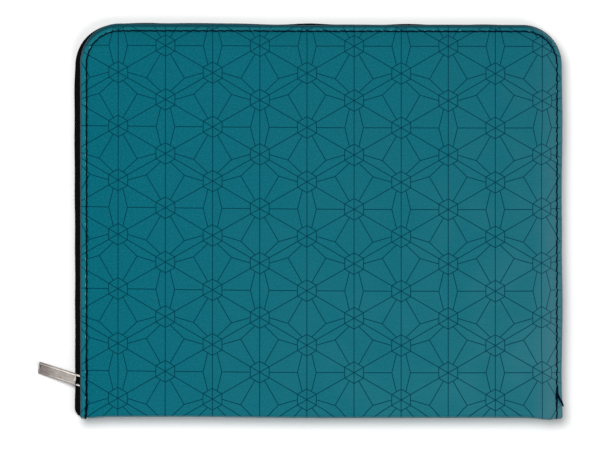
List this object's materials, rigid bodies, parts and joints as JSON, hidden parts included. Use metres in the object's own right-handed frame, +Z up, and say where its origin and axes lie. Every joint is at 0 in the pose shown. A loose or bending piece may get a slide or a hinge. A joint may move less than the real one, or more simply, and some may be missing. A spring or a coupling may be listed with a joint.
{
  "type": "zip-around tablet case",
  "caption": "Slim padded tablet case of two covers on a folded spine, closed on three sides by a zip, with corner straps, pockets and a pen loop inside.",
  "frame": {"origin": "middle of the back cover's outer face, which the closed case lies on", "axes": "+X along the fold, to the side away from the zip's slider; +Y from the fold to the far edge; +Z up through the closed covers"},
  "size_m": [0.2925, 0.2186, 0.024],
  "materials": {
    "printed_leatherette": "soft satin leatherette, printed with a fine dark line lattice",
    "lining_cloth": "black twill lining",
    "elastic": "black ribbed elastic",
    "zip_tape_cloth": "black woven zip tape",
    "nylon_coil": "black nylon coil",
    "sewing_thread": "dark navy polyester thread",
    "foam": "soft padding",
    "fibreboard": "stiffening board",
    "nickel": "warm satin nickel plate"
  },
  "bodies": {
    "back_cover": {"back_skin": "printed_leatherette", "back_padding": "foam", "back_board": "fibreboard", "back_lining": "lining_cloth", "back_seam_thread": "sewing_thread", "back_zip_tape": "zip_tape_cloth", "back_zip_teeth": "nylon_coil", "back_zip_stops": "nickel", "strap_top_left": "elastic", "strap_top_right": "elastic", "strap_bottom_left": "elastic", "strap_bottom_right": "elastic", "pen_loop": "elastic"},
    "front_cover": {"front_skin": "printed_leatherette", "front_padding": "foam", "front_board": "fibreboard", "front_lining": "lining_cloth", "front_seam_thread": "sewing_thread", "front_zip_tape": "zip_tape_cloth", "front_zip_teeth": "nylon_coil", "front_zip_stops": "nickel", "document_pocket": "lining_cloth", "card_pocket_upper": "lining_cloth", "card_pocket_lower": "lining_cloth"},
    "spine": {"spine_skin": "printed_leatherette", "spine_lining": "lining_cloth"},
    "slider": {"zip_slider": "nickel"},
    "link": {"pull_link": "nickel"},
    "pull": {"pull_tab": "nickel"}
  },
  "joints": [
    {"name": "cover_open", "type": "hinge", "parent": "spine", "child": "front_cover", "pos_m": [0, -0.1085, 0.0235], "axis": [1, 0, 0], "range_deg": [0, 90]},
    {"name": "spine_fold", "type": "hinge", "parent": "back_cover", "child": "spine", "pos_m": [0, -0.1085, 0.0005], "axis": [1, 0, 0], "range_deg": [0, 90]},
    {"name": "zip_slide", "type": "slide", "parent": "back_cover", "child": "slider", "axis": [0, 1, 0], "range_m": [-0.006, 0.169]},
    {"name": "pull_swing", "type": "hinge", "parent": "slider", "child": "link", "pos_m": [-0.12945, -0.0906, 0.012], "axis": [0, 0, -1], "range_deg": [-36, 20]},
    {"name": "pull_flip", "type": "hinge", "parent": "link", "child": "pull", "pos_m": [-0.13256, -0.08965, 0.012], "axis": [0.0663, 0.8467, 0.528], "range_deg": [-18, 50]}
  ],
  "couplings": [
    {"joint": "spine_fold", "follows": "cover_open", "ratio": 1}
  ]
}
